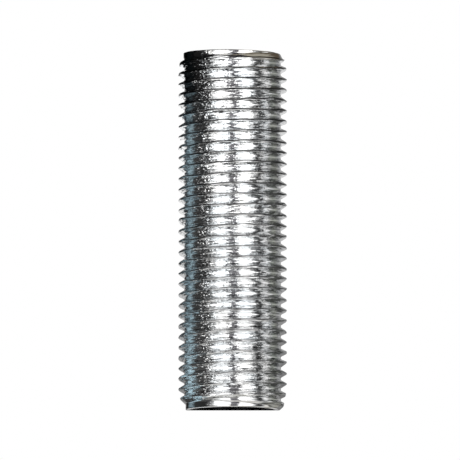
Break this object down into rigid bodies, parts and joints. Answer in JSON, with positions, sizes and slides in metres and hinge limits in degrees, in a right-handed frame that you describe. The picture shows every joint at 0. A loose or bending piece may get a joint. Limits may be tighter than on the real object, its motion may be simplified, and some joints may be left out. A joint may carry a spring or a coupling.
{
  "type": "threaded pipe nipple",
  "caption": "Straight thin-walled steel tube with a continuous right-hand external pipe thread along its full length, a through bore and chamfered ends, bright zinc plated.",
  "frame": {"origin": "centre of the lower end face, on the tube's axis", "axes": "+Z along the tube's axis towards the upper end; the thread is right-hand about Z, and +X passes through a crest 0.42 mm above the lower end face"},
  "size_m": [0.0098, 0.0098, 0.032],
  "materials": {
    "zinc_plated_steel": "bright zinc electroplate with a faint cool tint, fine sparkle in the thread flanks and short rolling marks running round the thread"
  },
  "bodies": {
    "root": {"threaded_nipple": "zinc_plated_steel"}
  },
  "joints": []
}
